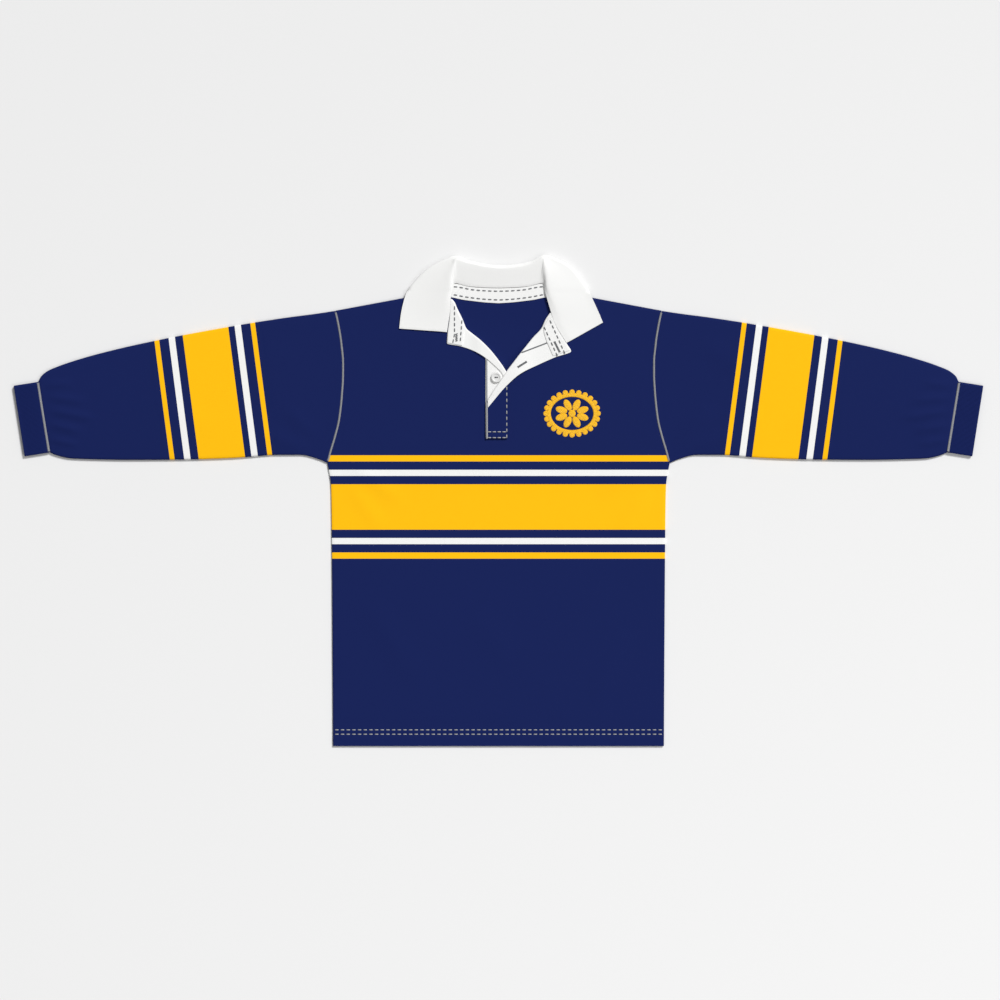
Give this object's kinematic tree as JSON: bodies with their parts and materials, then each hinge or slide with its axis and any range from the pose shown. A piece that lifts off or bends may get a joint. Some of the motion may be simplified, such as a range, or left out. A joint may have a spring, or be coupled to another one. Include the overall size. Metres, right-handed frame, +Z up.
{
  "type": "rugby shirt",
  "caption": "Long-sleeved rugby shirt laid flat, with a twill collar, an open buttoned placket with turned-back facings, hooped body and sleeves, and ribbed cuffs.",
  "frame": {"origin": "centre of the bounding box's underside, on the surface that the shirt lies on", "axes": "+X to the wearer's left along the sleeves, +Y from the hem to the collar, +Z up from the surface, out of the shirt's front"},
  "size_m": [1.648, 0.8343, 0.0135],
  "materials": {
    "navy_jersey": "matt cotton jersey with gold and white hoops",
    "white_twill": "matt cotton twill with grey stitching",
    "navy_rib": "matt cotton rib",
    "button": "satin",
    "thread": "satin sewing thread",
    "badge": "satin embroidery"
  },
  "bodies": {
    "root": {"back": "navy_jersey", "front": "navy_jersey", "sleeve_right": "navy_jersey", "sleeve_left": "navy_jersey", "cuff_right": "navy_rib", "cuff_left": "navy_rib", "collar": "white_twill", "neck_tape": "white_twill", "placket_under": "white_twill", "placket_over": "navy_jersey", "facing_right": "white_twill", "facing_left": "white_twill", "neck_tape_right": "white_twill", "neck_tape_left": "white_twill", "button": "button"}
  },
  "joints": []
}
